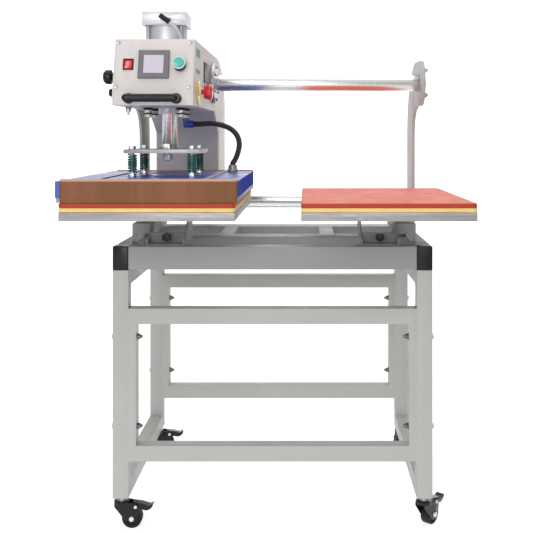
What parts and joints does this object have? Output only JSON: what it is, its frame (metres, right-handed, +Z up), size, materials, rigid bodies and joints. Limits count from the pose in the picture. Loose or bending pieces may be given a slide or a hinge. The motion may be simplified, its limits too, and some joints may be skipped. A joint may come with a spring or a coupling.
{
  "type": "double-station heat press",
  "caption": "Pneumatic heat press on a wheeled tube stand: a heated head shuttles sideways on rails between two padded lower platens and presses down.",
  "frame": {"origin": "on the floor, below the middle of the machine", "axes": "+X to the operator's right along the rails, +Y away from the operator, +Z up"},
  "size_m": [0.9565, 0.9107, 1.334],
  "materials": {
    "stand_paint": "satin powder coat",
    "table_paint": "satin powder coat",
    "box_paint": "satin powder coat",
    "shadow_paint": "satin powder coat",
    "zinc_steel": "zinc plated",
    "black_plastic": "moulded, fine texture",
    "polished_rail": "hard chrome, polished",
    "cast_aluminium": "machined edge",
    "machined_plate": "machined",
    "yellow_foam": "closed-cell foam",
    "red_silicone": "matt silicone",
    "anodised_aluminium": "satin anodised",
    "nickel_fittings": "nickel plated",
    "clear_tube": "translucent",
    "grey_bezel": "moulded",
    "gear_housing": "extruded",
    "braided_sleeve": "braided polyester sleeve",
    "red_switch": "translucent gloss",
    "green_button": "gloss",
    "red_button": "gloss",
    "green_spring": "gloss enamel",
    "insulation_board": "fibre board",
    "blue_cover": "satin paint",
    "brown_sheet": "coated glass cloth",
    "caster_black": "gloss black",
    "caster_wheel": "moulded"
  },
  "bodies": {
    "stand": {"side_frames": "stand_paint", "ladder_frames": "stand_paint", "stand_fasteners": "zinc_steel", "table_frame": "table_paint", "corner_caps": "black_plastic", "left_post": "stand_paint", "right_post": "stand_paint", "post_feet": "stand_paint", "rail_flanges": "stand_paint", "upper_rail": "polished_rail", "lower_rail": "polished_rail", "table_brackets": "stand_paint", "left_platen": "cast_aluminium", "left_foam": "yellow_foam", "left_pad": "red_silicone", "right_platen": "cast_aluminium", "right_foam": "yellow_foam", "right_pad": "red_silicone"},
    "left_lock_knob": {"left_lock_knob": "black_plastic"},
    "right_lock_knob": {"right_lock_knob": "black_plastic"},
    "carriage": {"side_plates": "box_paint", "top_cover": "box_paint", "under_cover": "shadow_paint", "front_panel": "box_paint", "rail_bushes": "zinc_steel", "cylinder_barrel": "anodised_aluminium", "cylinder_caps": "anodised_aluminium", "carriage_fasteners": "zinc_steel", "air_fittings": "nickel_fittings", "air_tube": "clear_tube", "touch_screen": "grey_bezel", "switch_bodies": "black_plastic", "pull_handle": "black_plastic", "control_gear": "gear_housing", "conduit": "braided_sleeve"},
    "power_rocker": {"power_rocker": "red_switch"},
    "start_button": {"start_button": "green_button"},
    "stop_button": {"stop_button": "red_button"},
    "regulator_knob": {"regulator_knob": "black_plastic"},
    "head": {"press_rods": "polished_rail", "pressure_plate": "machined_plate", "springs": "green_spring", "press_fasteners": "zinc_steel", "heat_platen": "cast_aluminium", "insulation": "insulation_board", "heat_cover": "blue_cover", "cover_trim": "machined_plate", "ptfe_sheet": "brown_sheet"},
    "fork_front_left": {"fork_front_left": "caster_black"},
    "wheel_front_left": {"wheel_front_left": "caster_wheel"},
    "pedal_front_left": {"pedal_front_left": "caster_black"},
    "fork_front_right": {"fork_front_right": "caster_black"},
    "wheel_front_right": {"wheel_front_right": "caster_wheel"},
    "pedal_front_right": {"pedal_front_right": "caster_black"},
    "fork_back_left": {"fork_back_left": "caster_black"},
    "wheel_back_left": {"wheel_back_left": "caster_wheel"},
    "pedal_back_left": {"pedal_back_left": "caster_black"},
    "fork_back_right": {"fork_back_right": "caster_black"},
    "wheel_back_right": {"wheel_back_right": "caster_wheel"},
    "pedal_back_right": {"pedal_back_right": "caster_black"}
  },
  "joints": [
    {"name": "carriage_shift", "type": "slide", "parent": "stand", "child": "carriage", "axis": [1, 0, 0], "range_m": [0, 0.55]},
    {"name": "press_stroke", "type": "slide", "parent": "carriage", "child": "head", "axis": [0, 0, 1], "range_m": [0, 0.07], "deforming": ["conduit"]},
    {"name": "left_lock_turn", "type": "hinge", "parent": "stand", "child": "left_lock_knob", "pos_m": [-0.28, -0.13, 0.752], "axis": [0, -1, 0], "continuous": true},
    {"name": "right_lock_turn", "type": "hinge", "parent": "stand", "child": "right_lock_knob", "pos_m": [0.28, -0.13, 0.752], "axis": [0, -1, 0], "continuous": true},
    {"name": "rocker_tip", "type": "hinge", "parent": "carriage", "child": "power_rocker", "pos_m": [-0.3355, -0.35083, 1.18647], "axis": [1, 0, 0], "range_deg": [-12, 0]},
    {"name": "start_press", "type": "slide", "parent": "carriage", "child": "start_button", "axis": [0, 0.9583, -0.2859], "range_m": [0, 0.0035], "stiffness_N_per_m": 400, "springref_m": -0.003},
    {"name": "stop_press", "type": "slide", "parent": "carriage", "child": "stop_button", "axis": [-1, 0, 0], "range_m": [0, 0.006], "stiffness_N_per_m": 1200, "springref_m": -0.004},
    {"name": "regulator_turn", "type": "hinge", "parent": "carriage", "child": "regulator_knob", "pos_m": [-0.386, -0.3, 1.161], "axis": [-1, 0, 0], "continuous": true},
    {"name": "swivel_front_left", "type": "hinge", "parent": "stand", "child": "fork_front_left", "pos_m": [-0.3935, -0.147, 0.066], "axis": [0, 0, 1], "continuous": true},
    {"name": "roll_front_left", "type": "hinge", "parent": "fork_front_left", "child": "wheel_front_left", "pos_m": [-0.3655, -0.147, 0.026], "axis": [0, 1, 0], "continuous": true},
    {"name": "brake_front_left", "type": "hinge", "parent": "fork_front_left", "child": "pedal_front_left", "pos_m": [-0.3555, -0.147, 0.056], "axis": [0, 1, 0], "range_deg": [-12, 0]},
    {"name": "swivel_front_right", "type": "hinge", "parent": "stand", "child": "fork_front_right", "pos_m": [0.3935, -0.147, 0.066], "axis": [0, 0, 1], "continuous": true},
    {"name": "roll_front_right", "type": "hinge", "parent": "fork_front_right", "child": "wheel_front_right", "pos_m": [0.4115, -0.12555, 0.026], "axis": [-0.766, 0.6428, 0], "continuous": true},
    {"name": "brake_front_right", "type": "hinge", "parent": "fork_front_right", "child": "pedal_front_right", "pos_m": [0.41793, -0.11789, 0.056], "axis": [-0.766, 0.6428, 0], "range_deg": [-12, 0]},
    {"name": "swivel_back_left", "type": "hinge", "parent": "stand", "child": "fork_back_left", "pos_m": [-0.3935, 0.406, 0.066], "axis": [0, 0, 1], "continuous": true},
    {"name": "roll_back_left", "type": "hinge", "parent": "fork_back_left", "child": "wheel_back_left", "pos_m": [-0.36593, 0.41086, 0.026], "axis": [-0.1736, 0.9848, 0], "continuous": true},
    {"name": "brake_back_left", "type": "hinge", "parent": "fork_back_left", "child": "pedal_back_left", "pos_m": [-0.35608, 0.4126, 0.056], "axis": [-0.1736, 0.9848, 0], "range_deg": [-12, 0]},
    {"name": "swivel_back_right", "type": "hinge", "parent": "stand", "child": "fork_back_right", "pos_m": [0.3935, 0.406, 0.066], "axis": [0, 0, 1], "continuous": true},
    {"name": "roll_back_right", "type": "hinge", "parent": "fork_back_right", "child": "wheel_back_right", "pos_m": [0.38625, 0.37895, 0.026], "axis": [0.9659, -0.2588, 0], "continuous": true},
    {"name": "brake_back_right", "type": "hinge", "parent": "fork_back_right", "child": "pedal_back_right", "pos_m": [0.38366, 0.36929, 0.056], "axis": [0.9659, -0.2588, 0], "range_deg": [-12, 0]}
  ]
}
